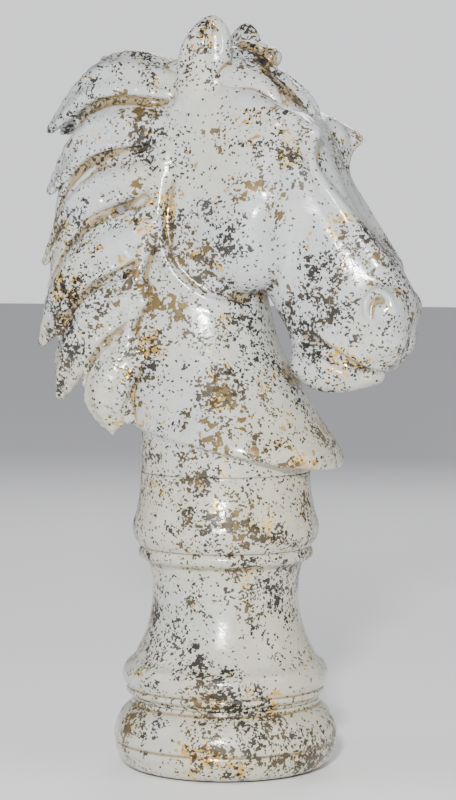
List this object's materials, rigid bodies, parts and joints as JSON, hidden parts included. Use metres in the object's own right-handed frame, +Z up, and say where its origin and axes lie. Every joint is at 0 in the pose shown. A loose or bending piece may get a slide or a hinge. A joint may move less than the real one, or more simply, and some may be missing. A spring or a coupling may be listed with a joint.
{
  "type": "giant chess knight",
  "caption": "Giant chess knight: a horse's head with a flowing mane, cast in hollow sections, on a round turned pedestal with a ballast filler plug in its base.",
  "frame": {"origin": "centre of the face that it stands on", "axes": "+X the way the horse looks, +Y its left, +Z up"},
  "size_m": [0.2397, 0.1374, 0.457],
  "materials": {
    "glaze": "pearly white with gold and dark bronze leaf flecks under a gloss coat",
    "steel": "zinc plated",
    "brass": "turned",
    "rubber": "matt",
    "plate": "moulded",
    "plywood": "birch plywood",
    "sand": "dry sand"
  },
  "bodies": {
    "piece": {"head_right": "glaze", "head_left": "glaze", "ear_right": "glaze", "ear_left": "glaze", "forelock": "glaze", "mane_right": "glaze", "mane_left": "glaze", "mane_crest": "glaze", "ear_pins": "steel", "mane_pins": "steel", "head_web": "plywood", "neck_bulkhead": "plate", "head_dowels": "steel", "tie_rod": "steel", "rod_nut_top": "steel", "rod_washer_top": "steel", "rod_nut_bottom": "steel", "rod_washer_bottom": "steel", "neck_gasket": "rubber", "collar_shell": "glaze", "collar_gasket": "rubber", "waist_shell": "glaze", "waist_gasket": "rubber", "foot_shell": "glaze", "ballast_sand": "sand", "base_plate": "plate", "base_screws": "steel", "screw_inserts": "brass", "filler_bush": "brass", "base_pad": "rubber"},
    "seal": {"plug_seal": "rubber"},
    "plug": {"filler_plug": "brass"}
  },
  "joints": [
    {"name": "plug_drop", "type": "slide", "parent": "piece", "child": "seal", "axis": [0, 0, -1], "range_m": [0, 0.00801]},
    {"name": "plug_turn", "type": "hinge", "parent": "seal", "child": "plug", "pos_m": [-0.027, 0, 0.016], "axis": [0, 0, -1], "range_deg": [0, 1440]}
  ],
  "couplings": [
    {"joint": "plug_drop", "follows": "plug_turn", "m_per_rad": 0.00031831}
  ]
}
